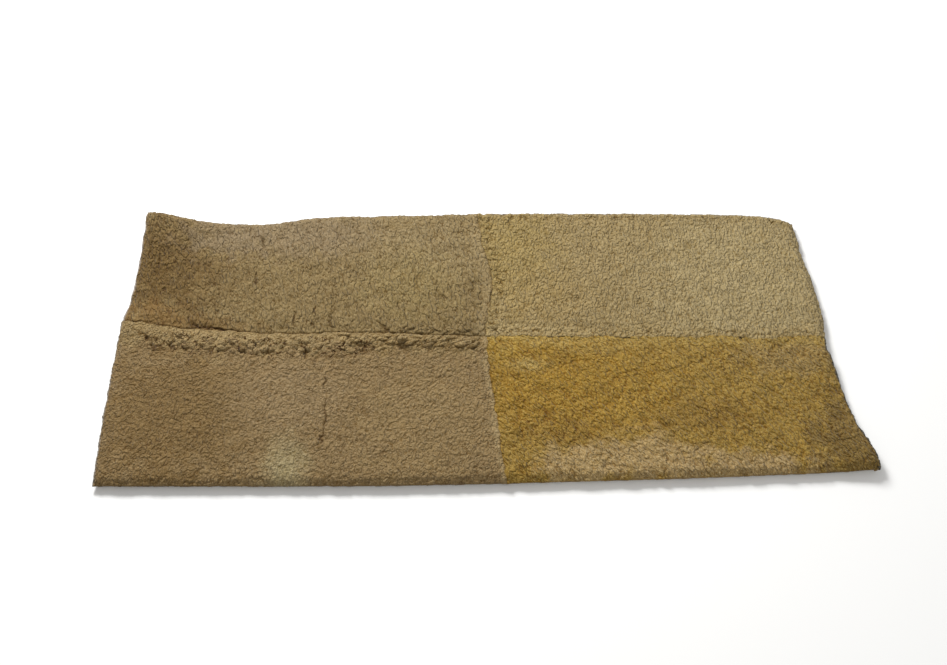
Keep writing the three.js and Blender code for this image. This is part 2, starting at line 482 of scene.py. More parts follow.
class Slab:
    """A packed panel: the four sides of its upper faces, and the heights of its top and its underside."""

    FAR = 1.0
    UPPER_TILT = 0.02
    MARGIN = 0.001

    def __init__(self, node: bpy.types.Object) -> None:
        """Finds the border of the upper faces and cuts it at its corners.

        Args:
            node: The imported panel.
        """
        mesh = bmesh.new()
        mesh.from_mesh(node.data)
        bmesh.ops.remove_doubles(mesh, verts=mesh.verts, dist=WELD)
        mesh.normal_update()
        self.tree = BVHTree.FromBMesh(mesh)
        others = [face for face in mesh.faces if face.normal.z < self.UPPER_TILT]
        bmesh.ops.delete(mesh, geom=others, context="FACES")
        self.sides = self._split(self._border(mesh))
        mesh.free()

    @staticmethod
    def _border(mesh: bmesh.types.BMesh) -> Array:
        """Walks once round the border, anticlockwise seen from above.

        Args:
            mesh: The upper faces.

        Returns:
            The border's points in plan.
        """
        first = next(edge for edge in mesh.edges if edge.is_boundary)
        walk = list(first.verts)
        while walk[0] is not walk[-1]:
            ways = [edge.other_vert(walk[-1]) for edge in walk[-1].link_edges if edge.is_boundary]
            walk.append(next(vert for vert in ways if vert is not walk[-2]))
        loop = np.array([vert.co[:2] for vert in walk[:-1]])
        after = np.roll(loop, -1, axis=0)
        area = np.sum(loop[:, 0] * after[:, 1] - after[:, 0] * loop[:, 1])
        return loop if area > 0 else loop[::-1]

    @staticmethod
    def _split(loop: Array) -> dict[Side, tuple[Array, Array]]:
        """Cuts the border at its four corners, which reach furthest along the diagonals.

        Args:
            loop: The border's points, anticlockwise.

        Returns:
            For each side, its points from left to right or front to back, and each one's share of the run.
        """
        middle = (loop.max(0) + loop.min(0)) / 2
        place = (loop - middle) / (loop.max(0) - middle)
        ways = {Side.FRONT: (-1, -1), Side.RIGHT: (1, -1), Side.BACK: (1, 1), Side.LEFT: (-1, 1)}
        corners = {side: int(np.argmax(place @ np.array(way))) for side, way in ways.items()}
        order = list(ways)
        sides = {}
        for index, side in enumerate(order):
            start, stop = corners[side], corners[order[(index + 1) % len(order)]]
            count = (stop - start) % len(loop) + 1
            points = loop[(start + np.arange(count)) % len(loop)]
            if side in (Side.BACK, Side.LEFT):
                points = points[::-1]
            run = np.concatenate([[0.0], np.cumsum(np.linalg.norm(np.diff(points, axis=0), axis=1))])
            sides[side] = (points, run / run[-1])
        return sides

    def length(self, side: Side) -> float:
        """Gives the length of one side, in metres."""
        points, _ = self.sides[side]
        return float(np.linalg.norm(np.diff(points, axis=0), axis=1).sum())

    def _along(self, side: Side, share: Array) -> Array:
        """Gives points in plan at shares of one side's length."""
        points, run = self.sides[side]
        return np.stack([np.interp(share, run, points[:, axis]) for axis in (0, 1)], axis=-1)

    def plan(self, u: Array, v: Array) -> Array:
        """Blends the four sides into points inside them.

        Args:
            u: Shares of the way from left to right.
            v: Shares of the way from front to back.

        Returns:
            The points in plan, in metres.
        """
        s, t = u[..., None], v[..., None]
        front, back = self.sides[Side.FRONT][0], self.sides[Side.BACK][0]
        across = self._along(Side.FRONT, u) * (1 - t) + self._along(Side.BACK, u) * t
        along = self._along(Side.LEFT, v) * (1 - s) + self._along(Side.RIGHT, v) * s
        low = front[0] * (1 - s) + front[-1] * s
        high = back[0] * (1 - s) + back[-1] * s
        return across + along - low * (1 - t) - high * t

    def _feel(self, u: Array, v: Array, start_z: float) -> Array:
        """Feels for the panel's surface along upright rays that start from one height.

        Args:
            u: Shares of the way from left to right.
            v: Shares of the way from front to back.
            start_z: Where the rays start, over or under the panel.

        Returns:
            The height that each ray meets first, in metres.
        """
        inner = (self.MARGIN, 1 - self.MARGIN)
        plan = self.plan(np.clip(u, *inner), np.clip(v, *inner))
        ray = Vector((0.0, 0.0, -start_z))
        found = []
        for x, y in plan.reshape(-1, 2):
            hit = self.tree.ray_cast(Vector((x, y, start_z)), ray)[0]
            if hit is None:
                hit = self.tree.find_nearest(Vector((x, y, 0.0)))[0]
            found.append(hit.z)
        return np.array(found).reshape(u.shape)

    def top(self, u: Array, v: Array) -> Array:
        """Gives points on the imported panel's top."""
        return np.dstack([self.plan(u, v), self._feel(u, v, self.FAR)])

    def underside(self, u: Array, v: Array) -> Array:
        """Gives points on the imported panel's underside."""
        return np.dstack([self.plan(u, v), self._feel(u, v, -self.FAR)])


def grid_mesh(name: str, places: Array) -> tuple[bpy.types.Mesh, Array, Array]:
    """Makes a mesh of a grid and sets its points in place.

    Args:
        name: The mesh's name.
        places: Points by column and row, in metres.

    Returns:
        The mesh, and the column and the row of each of its vertices.
    """
    columns, rows, _ = places.shape
    sheet = bmesh.new()
    bmesh.ops.create_grid(sheet, x_segments=columns - 1, y_segments=rows - 1, size=0.5)
    mesh = bpy.data.meshes.new(name)
    sheet.to_mesh(mesh)
    sheet.free()
    flat = np.empty(3 * len(mesh.vertices))
    mesh.vertices.foreach_get("co", flat)
    share = flat.reshape(-1, 3) + 0.5
    column = np.rint(share[:, 0] * (columns - 1)).astype(int)
    row = np.rint(share[:, 1] * (rows - 1)).astype(int)
    mesh.vertices.foreach_set("co", places[column, row].ravel())
    return mesh, column, row


def set_looks(mesh: bpy.types.Mesh, colours: Array, **amounts: Array) -> None:
    """Stores the wool's shade and other amounts on a mesh's vertices.

    Args:
        mesh: The mesh.
        colours: Linear colours, a row for each vertex.
        **amounts: For each other attribute, a number for each vertex.
    """
    shade = mesh.color_attributes.new("shade", "FLOAT_COLOR", "POINT")
    shade.data.foreach_set("color", np.column_stack([colours, np.ones(len(colours))]).ravel())
    for name, values in amounts.items():
        mesh.attributes.new(name, "FLOAT", "POINT").data.foreach_set("value", values)


def show(mesh: bpy.types.Mesh, material: bpy.types.Material) -> bpy.types.Object:
    """Puts a mesh into the scene with smooth faces and one material.

    Args:
        mesh: The finished mesh.
        material: Its finish.

    Returns:
        The new object, at the origin.
    """
    mesh.polygons.foreach_set("use_smooth", np.ones(len(mesh.polygons), dtype=bool))
    mesh.materials.append(material)
    mesh.update()
    piece = bpy.data.objects.new(mesh.name, mesh)
    bpy.context.scene.collection.objects.link(piece)
    return piece


class NodeBench:
    """Places shader nodes in a material and joins them up."""

    NOISE_MIDDLE = 0.5
    CREASE_STEEPNESS = 6.0

    def __init__(self, material: bpy.types.Material) -> None:
        """Opens the material's nodes.

        Args:
            material: The material to work on.
        """
        material.use_nodes = True
        self.nodes = material.node_tree.nodes
        self.links = material.node_tree.links
        self.surface = self.nodes["Principled BSDF"]

    def join(self, value: Socket | float, socket: Socket) -> None:
        """Feeds a socket from another one, or sets it to a number.

        Args:
            value: What the socket is given.
            socket: The socket.
        """
        if isinstance(value, Socket):
            self.links.new(value, socket)
        else:
            socket.default_value = value

    def place(self, turn_deg: float, stretch: float) -> Socket:
        """Gives places on the piece, along a turned direction and stretched in it.

        Args:
            turn_deg: The direction, in degrees from the rug's length.
            stretch: How much longer the pattern is in that direction.

        Returns:
            The places' socket.
        """
        spot = self.nodes.new("ShaderNodeTexCoord")
        lay = self.nodes.new("ShaderNodeMapping")
        lay.vector_type = "TEXTURE"
        lay.inputs["Rotation"].default_value = (0.0, 0.0, math.radians(turn_deg))
        lay.inputs["Scale"].default_value = (stretch, 1.0, 1.0)
        self.links.new(spot.outputs["Object"], lay.inputs["Vector"])
        return lay.outputs["Vector"]

    def noise(self, place: Socket, size: float, detail: float, curl: float) -> Socket:
        """Gives noise from 0 to 1.

        Args:
            place: Where it is looked up.
            size: Its coarseness, in metres.
            detail: How many finer layers it has.
            curl: How much it is twisted.

        Returns:
            The noise's socket.
        """
        node = self.nodes.new("ShaderNodeTexNoise")
        node.inputs["Scale"].default_value = 1.0 / size
        node.inputs["Detail"].default_value = detail
        node.inputs["Distortion"].default_value = curl
        self.links.new(place, node.inputs["Vector"])
        return node.outputs["Fac"]

    def from_crease(self, place: Socket, size: float, detail: float) -> Socket:
        """Gives the distance from winding lines, where noise passes through its middle.

        Args:
            place: Where it is looked up.
            size: How far apart the lines are, in metres.
            detail: How many finer windings they have.

        Returns:
            The distance's socket, from 0 on a line to about 1 between two.
        """
        wave = self.noise(place, size, detail, 0.0)
        away = self.math("ABSOLUTE", self.math("SUBTRACT", wave, self.NOISE_MIDDLE))
        return self.math("MULTIPLY", away, self.CREASE_STEEPNESS)

    def math(self, operation: str, first: Socket | float, second: Socket | float = 0.0) -> Socket:
        """Works out one step of arithmetic.

        Args:
            operation: Blender's name for it.
            first: The first number.
            second: The second number, where there is one.

        Returns:
            The result's socket.
        """
        node = self.nodes.new("ShaderNodeMath")
        node.operation = operation
        self.join(first, node.inputs[0])
        self.join(second, node.inputs[1])
        return node.outputs["Value"]

    def span(self, value: Socket, reach: tuple[float, float], to: tuple[float, float]) -> Socket:
        """Carries one span of numbers over to another, and stops at its ends.

        Args:
            value: The number.
            reach: The span it comes from.
            to: The span it goes to.

        Returns:
            The result's socket.
        """
        node = self.nodes.new("ShaderNodeMapRange")
        node.interpolation_type = "SMOOTHSTEP"
        node.inputs["From Min"].default_value, node.inputs["From Max"].default_value = reach
        node.inputs["To Min"].default_value, node.inputs["To Max"].default_value = to
        self.links.new(value, node.inputs["Value"])
        return node.outputs["Result"]

    def stored(self, name: str, output: str) -> Socket:
        """Reads an attribute that the mesh carries."""
        node = self.nodes.new("ShaderNodeAttribute")
        node.attribute_name = name
        return node.outputs[output]

    def deepened(self, colour: Socket, power: Socket) -> Socket:
        """Raises a colour to a power: over 1 it grows darker and deeper, under 1 paler.

        Args:
            colour: The colour.
            power: The power.

        Returns:
            The result's socket.
        """
        node = self.nodes.new("ShaderNodeGamma")
        self.links.new(colour, node.inputs["Color"])
        self.links.new(power, node.inputs["Gamma"])
        return node.outputs["Color"]

    def stained(self, colour: Socket, stain: Colour, share: Socket) -> Socket:
        """Multiplies a colour by another.

        Args:
            colour: The colour.
            stain: What it is multiplied by.
            share: How much of that is done, from 0 to 1.

        Returns:
            The result's socket.
        """
        node = self.nodes.new("ShaderNodeMix")
        node.data_type = "RGBA"
        node.blend_type = "MULTIPLY"
        node.inputs["B"].default_value = (*stain, 1.0)
        self.links.new(share, node.inputs["Factor"])
        self.links.new(colour, node.inputs["A"])
        return node.outputs["Result"]

    def bump(self, height: Socket, strength: float, distance: float) -> None:
        """Roughens the surface.

        Args:
            height: The roughness's height, from 0 to 1.
            strength: How much of it shows.
            distance: What a height of 1 stands for, in metres.
        """
        node = self.nodes.new("ShaderNodeBump")
        node.inputs["Strength"].default_value = strength
        node.inputs["Distance"].default_value = distance
        self.links.new(height, node.inputs["Height"])
        self.links.new(node.outputs["Normal"], self.surface.inputs["Normal"])


@dataclass(frozen=True)
class WoolFinish:
    """Matte sheared wool: its colour and painted shade come from the mesh, its staples and fibres from the
    finish, which paints more shade into the creases between staples and the tears between locks.
    """

    lay_deg: float
    staple: float
    staple_stretch: float
    # How much painted shade the creases between staples get.
    staple_shade: float
    staple_bump: float = 3.0 * MM
    crease_width: float = 0.28
    crease_detail: float = 1.0
    crease_stretch: float = 1.0
    # How strongly painted shade darkens and deepens the colour, and the size and strength of the painted
    # shade in tears.
    painted_shade_power: float = 0.75
    tear: float = 10.0 * MM
    tear_shade: float = 1.5
    fleck: float = 2.4 * MM
    fleck_power: tuple[float, float] = (1.09, 0.91)
    fibre: float = 1.4 * MM
    roughness: float = 0.92
    sheen: float = 0.06
    sheen_roughness: float = 0.45
    shine: float = 0.15

    # Sizes in shares of a staple's or a tear's own, spans of noise, and amounts from 0 to 1.
    DOME_HEIGHT = 0.7
    PEBBLE_SCALE = 0.8
    TORN_SCALE = 0.9
    TORN_SPAN = (0.48, 0.62)
    DENSE_SCALE = 7.0
    DENSE_SPAN = (0.36, 0.6)
    CALM_SHARE = 0.55
    LINE_CORE = 0.25
    RENT_SPAN = (0.1, 0.27)
    APART_SCALE = 1.2
    APART_SPAN = (0.44, 0.54)
    FLECK_SPAN = (0.32, 0.68)
    FIBRE_SHARE = 0.6

    def _painted_creases(self, bench: NodeBench, along: Socket, edge: Socket) -> Socket:
        """Picks short stretches of the lines between staples, more of them in some places, and gives them
        painted shade.

        Args:
            bench: The material's nodes.
            along: Places on the piece, along the wool's lay.
            edge: Distance from the lines.

        Returns:
            The creases' painted shade, from 0 to about 1.
        """
        drawn = bench.place(self.lay_deg, self.crease_stretch)
        broken = bench.noise(drawn, self.TORN_SCALE * self.staple, 1.0, 0.0)
        torn = bench.span(broken, self.TORN_SPAN, (0.0, 1.0))
        shades = (self.CALM_SHARE * self.staple_shade, self.staple_shade)
        region = bench.noise(along, self.DENSE_SCALE * self.staple, 2.0, 0.0)
        dense = bench.span(region, self.DENSE_SPAN, shades)
        line = bench.span(edge, (self.LINE_CORE * self.crease_width, self.crease_width), (1.0, 0.0))
        return bench.math("MULTIPLY", line, bench.math("MULTIPLY", torn, dense))

    def _painted_tears(self, bench: NodeBench) -> Socket:
        """Paints shade into the deep gaps between fat locks, where the mesh says that the wool is torn.

        Args:
            bench: The material's nodes.

        Returns:
            The tears' painted shade, from 0 to its full strength.
        """
        even = bench.place(self.lay_deg, 1.0)
        rent = bench.span(bench.from_crease(even, self.tear, 1.0), self.RENT_SPAN, (self.tear_shade, 0.0))
        broken = bench.noise(even, self.APART_SCALE * self.tear, 1.0, 0.0)
        apart = bench.span(broken, self.APART_SPAN, (0.0, 1.0))
        return bench.math("MULTIPLY", bench.math("MULTIPLY", rent, apart), bench.stored("torn", "Fac"))

    def material(self, name: str) -> bpy.types.Material:
        """Makes the finish.

        Args:
            name: The material's name.

        Returns:
            The material.
        """
        material = bpy.data.materials.new(name)
        bench = NodeBench(material)
        wool = bench.surface
        wool.inputs["Roughness"].default_value = self.roughness
        wool.inputs["Sheen Weight"].default_value = self.sheen
        wool.inputs["Sheen Roughness"].default_value = self.sheen_roughness
        wool.inputs["Specular IOR Level"].default_value = self.shine

        along = bench.place(self.lay_deg, self.staple_stretch)
        edge = bench.from_crease(along, self.staple, self.crease_detail)
        # Creases, tears and the mesh's painted shade darken and deepen the colour; the flecks vary its tone
        # at random.
        crease_and_tear_shade = bench.math("MAXIMUM", self._painted_creases(bench, along, edge), self._painted_tears(bench))
        hollow = bench.math("MAXIMUM", crease_and_tear_shade, bench.stored("hollow", "Fac"))
        fleck = bench.span(bench.noise(along, self.fleck, 3.0, 0.0), self.FLECK_SPAN, self.fleck_power)
        power = bench.math("ADD", fleck, bench.math("MULTIPLY", hollow, self.painted_shade_power))
        shade = bench.stored("shade", "Color")
        bench.links.new(bench.deepened(shade, power), wool.inputs["Base Color"])

        dome = bench.span(edge, (0.0, 1.0), (0.0, self.DOME_HEIGHT))
        pebble = bench.noise(along, self.PEBBLE_SCALE * self.staple, 2.0, 0.0)
        fibre = bench.noise(along, self.fibre, 2.0, 0.0)
        rough = bench.math("ADD", pebble, bench.math("MULTIPLY", fibre, self.FIBRE_SHARE))
        bench.bump(bench.math("ADD", dome, rough), 1.0, self.staple_bump)
        return material


@dataclass(frozen=True)
class SkinFinish:
    """The napped flesh side and cut edge of tanned skin."""

    colour: Colour = tint("a39a88")
    stain: Colour = (0.78, 0.73, 0.66)
    cloud: float = 60.0 * MM
    nap: float = 1.5 * MM
    nap_depth: float = 0.5 * MM
    nap_strength: float = 0.6
    roughness: float = 0.85

    CLOUD_SPAN = (0.3, 0.7)
    CLOUD_CURL = 0.3

    def material(self, name: str) -> bpy.types.Material:
        """Makes the finish.

        Args:
            name: The material's name.

        Returns:
            The material.
        """
        material = bpy.data.materials.new(name)
        bench = NodeBench(material)
        bench.surface.inputs["Roughness"].default_value = self.roughness
        place = bench.place(0.0, 1.0)
        drift = bench.noise(place, self.cloud, 5.0, self.CLOUD_CURL)
        cloud = bench.span(drift, self.CLOUD_SPAN, (0.0, 1.0))
        paint = bench.nodes.new("ShaderNodeRGB")
        paint.outputs["Color"].default_value = (*self.colour, 1.0)
        clouded = bench.stained(paint.outputs["Color"], self.stain, cloud)
        bench.links.new(clouded, bench.surface.inputs["Base Color"])
        bench.bump(bench.noise(place, self.nap, 2.0, 0.0), self.nap_strength, self.nap_depth)
        return material


@dataclass(frozen=True)
class EdgeTint:
    """Another shade of the wool along one side of a panel. Millimetres."""

    colour: Colour
    width: float
    strength: float = 1.0

    WIDTH_SPREAD = 0.8
    WIDTH_SIZE = 25.0
    FULL_SHARE = 0.3

    def share(self, x: Array, y: Array, inset: Array, noise: Unevenness) -> Array:
        """Says how strongly the shade shows at each place.

        Args:
            x: Places along the rug.
            y: Places across the rug.
            inset: Distance in from the side.
            noise: The panel's own unevenness.

        Returns:
            The shade's share, from 0 to its strength.
        """
        wide = self.width * (1 + self.WIDTH_SPREAD * noise.smooth(x, y, self.WIDTH_SIZE))
        return self.strength * (1 - ramp(inset, self.FULL_SHARE * wide, wide))


@dataclass(frozen=True)
class LockRow:
    """A row of curled locks along one side of a panel, each one a bent and tapered tuft. Millimetres."""

    side: Side
    inset: tuple[float, float]
    spacing: float
    length: tuple[float, float]
    radius: tuple[float, float]
    turn_deg: float = 0.0
    turn_spread_deg: float = 40.0
    bend: float = 0.3
    droop: float = 0.9
    sunk: float = 0.35
    # Painted shade on each lock's underside, and how high up the lock it reaches.
    underside_shade: float = 0.5
    shade_from: float = 0.35
    flat: float = 1.0
    start: float = 0.0
    stop: float = 1.0

    # The insets step by the golden share, which spreads them evenly and without a beat.
    GOLDEN_SHARE = (math.sqrt(5.0) - 1) / 2
    PLACE_SPREAD = (0.2, 0.8)
    UNDERSIDE_SHADE_SPREAD = (0.3, 1.0)
    SHADE_SPREAD = (0.95, 1.12)

    def draw(self, panel: "Panel", chance: np.random.Generator) -> list["Lock"]:
        """Scatters the row's locks evenly, with small differences.

        Args:
            panel: The panel they grow from.
            chance: Gives the differences.

        Returns:
            The locks.
        """
        run = panel.slab.length(self.side) / MM * (self.stop - self.start)
        count = round(run / self.spacing)
        locks = []
        for index in range(count):
            step = (index + chance.uniform(*self.PLACE_SPREAD)) / count
            share = self.start + step * (self.stop - self.start)
            inset = self.inset[0] + (index * self.GOLDEN_SHARE) % 1.0 * (self.inset[1] - self.inset[0])
            spread = chance.uniform(-self.turn_spread_deg, self.turn_spread_deg)
            locks.append(
                Lock(
                    *panel.spot(self.side, share, inset),
                    length=chance.uniform(*self.length),
                    radius=chance.uniform(*self.radius),
                    turn_deg=self.turn_deg + spread,
                    bend=self.bend * chance.choice((-1.0, 1.0)),
                    droop=self.droop,
                    sunk=self.sunk,
                    underside_shade=self.underside_shade * chance.uniform(*self.UNDERSIDE_SHADE_SPREAD),
                    shade_from=self.shade_from,
                    flat=self.flat,
                    shade=chance.uniform(*self.SHADE_SPREAD),
                )
            )
        return locks


@dataclass(frozen=True)
class Lock:
    """One curled lock, at a place on its panel. Millimetres."""

    u: float
    v: float
    length: float
    radius: float
    turn_deg: float
    bend: float
    droop: float
    sunk: float
    underside_shade: float
    shade_from: float
    flat: float
    shade: float

    TAPER = 0.25
    BEND_MEAN = 0.33

    def shaped(self, ball: Array) -> Array:
        """Draws a ball out into the lock, along its own first direction.

        Args:
            ball: Points of a ball of radius 1.

        Returns:
            The lock's points, in metres.
        """
        along, over, up = ball.T
        thin = self.radius * (1 - self.TAPER * along)
        lengthwise = along * self.length / 2
        sideways = over * thin + self.bend * self.length * (along**2 - self.BEND_MEAN)
        upright = up * thin * self.flat - self.droop * self.radius * along**2 - self.sunk * self.radius
        return np.column_stack([lengthwise, sideways, upright]) * MM


@dataclass
class Panel:
    """One sheepskin of the rug: its wool with a rounded rim, and its skin underneath."""

    place: str
    slot: str
    rims: tuple[Side, ...]
    colour: Colour
    fleece: Fleece
    finish: WoolFinish
    seed: int
    # How much painted shade falls into the crease along each seam side.
    seam_shade: dict[Side, float]
    bands: tuple[CurlBand, ...] = ()
    partings: tuple[Parting, ...] = ()
    blotches: tuple[Blotch, ...] = ()
    lock_rows: tuple[LockRow, ...] = ()
    edge_tints: dict[Side, EdgeTint] = field(default_factory=dict)
    waver: SeamWaver = SeamWaver()
    skirt_rows: int = 4
    seam_width: float = 2.6
    seam_depth: float = 1.8
    seam_fill: float = 3.4
    seam_reach: float = 11.0
    lift: float = 0.97
    mottle: float = 0.07
    mottle_size: float = 34.0
    pieces: list[bpy.types.Object] = field(default_factory=list)

    SEAM_WHOLE = 0.6
    SEAM_SPREAD = 0.9
    SEAM_SIZE = 30.0
    MOTTLE_SHIFTS = (300.0, 70.0)
    MOTTLE_FINE = 0.35
    EVEN_REACH = 3
    EVEN_PASSES = 2
    # Painted shade at the foot of a rim's skirt.
    SKIRT_SHADE = 0.5
    # How far up a lock its painted shade fades out.
    LOCK_FADE = 0.4

    def __post_init__(self) -> None:
        """Finds the panel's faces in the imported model."""
        self.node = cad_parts[f"panel_{self.place}"]
        self.noise = Unevenness(self.seed)
        self.slab = Slab(self.node)
        self.length = max(self.slab.length(Side.FRONT), self.slab.length(Side.BACK))
        self.width = max(self.slab.length(Side.LEFT), self.slab.length(Side.RIGHT))

    def _insets(self, u: Array, v: Array) -> dict[Side, Array]:
        """Gives the distance in from each side, in millimetres."""
        return {
            Side.LEFT: u * self.length / MM,
            Side.RIGHT: (1 - u) * self.length / MM,
            Side.FRONT: v * self.width / MM,
            Side.BACK: (1 - v) * self.width / MM,
        }

    def _relief(self, x: Array, y: Array, insets: dict[Side, Array]) -> Relief:
        """Lays the wool's features over each other.

        Args:
            x: Places along the rug, in millimetres.
            y: Places across the rug, in millimetres.
            insets: Distance in from each side, in millimetres.

        Returns:
            The wool's relief at each place.
        """
        relief = self.fleece.relief(x, y, self.noise)
        for band in self.bands:
            curls = band.relief(x, y, insets[band.side], self.noise)
            hollow = np.maximum(relief.hollow, curls.hollow)
            torn = np.maximum(relief.torn, curls.torn)
            relief = Relief(relief.height + curls.height, hollow, torn)
        for parting in self.partings:
            share = parting.share(x, y, self.noise)
            # A parting is lowered and darkened along its line: painted shade in the gap.
            relief.height -= parting.depth * share
            relief.hollow = np.maximum(relief.hollow, share)
        # Along each seam the wool is filled up, and creased and darkened at the seam itself: painted shade
        # in the crease.
        for side, shade in self.seam_shade.items():
            crease = shade * np.exp(-((insets[side] / self.seam_width) ** 2))
            whole = self.SEAM_WHOLE + self.SEAM_SPREAD * self.noise.smooth(x, y, self.SEAM_SIZE)
            broken = np.clip(whole, 0.0, 1.0)
            fill = self.seam_fill * (1 - ramp(insets[side], 0.0, self.seam_reach))
            relief.height += fill - self.seam_depth * crease
            relief.hollow = np.maximum(relief.hollow, broken * crease)
        return relief

    def _colours(self, x: Array, y: Array, insets: dict[Side, Array]) -> Array:
        """Gives the wool's shade, from the panel's colour, its blotches, its cut edges and a soft mottle.

        Args:
            x: Places along the rug, in millimetres.
            y: Places across the rug, in millimetres.
            insets: Distance in from each side, in millimetres.

        Returns:
            Linear colours.
        """
        colours = np.broadcast_to(np.array(self.colour), (*x.shape, 3))
        for blotch in self.blotches:
            share = blotch.share(x, y, self.noise)[..., None]
            colours = colours * (1 - share) + np.array(blotch.colour) * share
        for side, edge in self.edge_tints.items():
            share = edge.share(x, y, insets[side], self.noise)[..., None]
            colours = colours * (1 - share) + np.array(edge.colour) * share
        coarse = self.noise.smooth(y + self.MOTTLE_SHIFTS[0], x, self.mottle_size)
        fine = self.noise.smooth(x, y + self.MOTTLE_SHIFTS[1], self.MOTTLE_FINE * self.mottle_size)
        cloud = coarse + fine
        return colours * self.lift * (1 + self.mottle * cloud[..., None])

    def _line(self, length: float, low: Side, high: Side) -> tuple[Array, Array]:
        """Spaces grid lines over the panel, with more lines down the skirt of a rim.

        Args:
            length: How far the lines are spread, in metres.
            low: The side where they start.
            high: The side where they end.

        Returns:
            Each line's number among those on top, and how far down a skirt it is, from 0 to 1.
        """
        count = round(length / WOOL_PITCH) + 1
        skirt = np.arange(1, self.skirt_rows + 1) / self.skirt_rows
        before = skirt[::-1] if low in self.rims else skirt[:0]
        after = skirt if high in self.rims else skirt[:0]
        index = np.concatenate([np.zeros(len(before)), np.arange(count), np.full(len(after), count - 1)])
        return index.astype(int), np.concatenate([before, np.zeros(count), after])

    def _skin_points(self, u: Array, v: Array) -> Array:
        """Gives points on the skin's upper face, which stops short of the wool at a rim.

        Args:
            u: Shares of the way from left to right.
            v: Shares of the way from front to back.

        Returns:
            The points, in metres.
        """
        shy = {side: RIM_OVERHANG if side in self.rims else 0.0 for side in Side}
        left, right = shy[Side.LEFT] / self.length, shy[Side.RIGHT] / self.length
        front, back = shy[Side.FRONT] / self.width, shy[Side.BACK] / self.width
        points = self.slab.underside(left + u * (1 - left - right), front + v * (1 - front - back))
        return points + np.array((0.0, 0.0, SKIN_THICKNESS))

    def build_wool(self) -> bpy.types.Object:
        """Builds the wool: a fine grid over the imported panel, raised into clumps and rolled under at rims.

        Returns:
            The wool's object.
        """
        column, down_u = self._line(self.length, Side.LEFT, Side.RIGHT)
        row, down_v = self._line(self.width, Side.FRONT, Side.BACK)
        lines = (np.linspace(0, 1, count.max() + 1) for count in (column, row))
        u, v = np.meshgrid(*lines, indexing="ij")
        top = self.slab.top(u, v)
        top[..., 2] = soften(top[..., 2], self.EVEN_REACH, self.EVEN_PASSES)
        x, y = top[..., 0] / MM, top[..., 1] / MM
        insets = self._insets(u, v)
        rim = np.minimum.reduce([insets[side] for side in self.rims])
        seam = np.minimum.reduce([insets[side] for side in self.seam_shade])
        top[..., :2] += self.waver.shifts(x, y, seam, rim) * MM
        relief = self._relief(x, y, insets)
        normal = np.cross(np.gradient(top, axis=0), np.gradient(top, axis=1))
        normal /= np.linalg.norm(normal, axis=-1, keepdims=True)
        top = top + normal * (relief.height * MM)[..., None]
        self.surface, self.normal = top, normal
        self.shades, self.torn = self._colours(x, y, insets), relief.torn

        ring = self._skin_points(u, v)
        pick = np.ix_(column, row)
        down = np.maximum(*np.meshgrid(down_u, down_v, indexing="ij"))[..., None]
        inward = 1 - np.cos(down * math.pi / 2)
        rolled = np.dstack([inward, inward, np.sin(down * math.pi / 2)])
        places = top[pick] + (ring[pick] - top[pick]) * rolled

        mesh, i, j = grid_mesh(f"wool_{self.place}", places)
        # The skirt darkens as it turns under the rim: painted shade.
        hollow = np.clip(relief.hollow[pick] + self.SKIRT_SHADE * down[..., 0], 0.0, 1.0)
        set_looks(mesh, self.shades[pick][i, j], hollow=hollow[i, j], torn=relief.torn[pick][i, j])
        self._weld(mesh)
        self.material = self.finish.material(f"sheared_{self.slot}")
        wool = show(mesh, self.material)
        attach(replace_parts(wool, self.node.name), "root")
        self.pieces.append(wool)
        return wool

    def spot(self, side: Side, share: float, inset: float) -> tuple[float, float]:
        """Gives the place at a share of one side's length and a distance in from it.

        Args:
            side: The side.
            share: How far along it, from 0 to 1.
            inset: The distance in, in millimetres.

        Returns:
            Shares of the way from left to right and from front to back.
        """
        if side in (Side.FRONT, Side.BACK):
            depth = inset * MM / self.width
            return share, depth if side is Side.FRONT else 1 - depth
        depth = inset * MM / self.length
        return depth if side is Side.LEFT else 1 - depth, share

    def build_locks(self) -> bpy.types.Object:
        """Builds the single locks that stand out of the wool, joined into one piece.

        Returns:
            The locks' object.
        """
        ball = bmesh.new()
        bmesh.ops.create_uvsphere(ball, u_segments=8, v_segments=6, radius=1.0)
        bmesh.ops.triangulate(ball, faces=ball.faces)
        bmesh.ops.rotate(ball, verts=ball.verts, matrix=Matrix.Rotation(math.pi / 2, 3, "Y"))
        points = np.array([vert.co[:] for vert in ball.verts])
        faces = np.array([[vert.index for vert in face.verts] for face in ball.faces])
        ball.free()

        chance = np.random.default_rng(self.seed)
        locks = [lock for row in self.lock_rows for lock in row.draw(self, chance)]
        last = np.array(self.surface.shape[:2]) - 1
        places, shades, hollows, tears = [], [], [], []
        for lock in locks:
            spot = tuple(np.rint(np.array((lock.u, lock.v)) * last).astype(int))
            turn = math.radians(lock.turn_deg)
            up = self.normal[spot]
            over = np.cross(up, (math.cos(turn), math.sin(turn), 0.0))
            over /= np.linalg.norm(over)
            axes = np.array((np.cross(over, up), over, up))
            places.append(self.surface[spot] + lock.shaped(points) @ axes)
            shades.append(np.tile(self.shades[spot] * lock.shade, (len(points), 1)))
            # Each lock is darkened from its underside up: painted shade where it sits in the wool.
            under = np.clip((lock.shade_from - points[:, 2]) / self.LOCK_FADE, 0.0, 1.0)
            hollows.append(lock.underside_shade * under)
            tears.append(np.full(len(points), self.torn[spot]))
        joined = np.concatenate([faces + index * len(points) for index in range(len(locks))])
        mesh = bpy.data.meshes.new(f"locks_{self.place}")
        mesh.from_pydata(np.concatenate(places).tolist(), [], joined.tolist())
        set_looks(mesh, np.concatenate(shades), hollow=np.concatenate(hollows), torn=np.concatenate(tears))
        bunch = show(mesh, self.material)
        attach(bunch, "root")
        self.pieces.append(bunch)
        return bunch

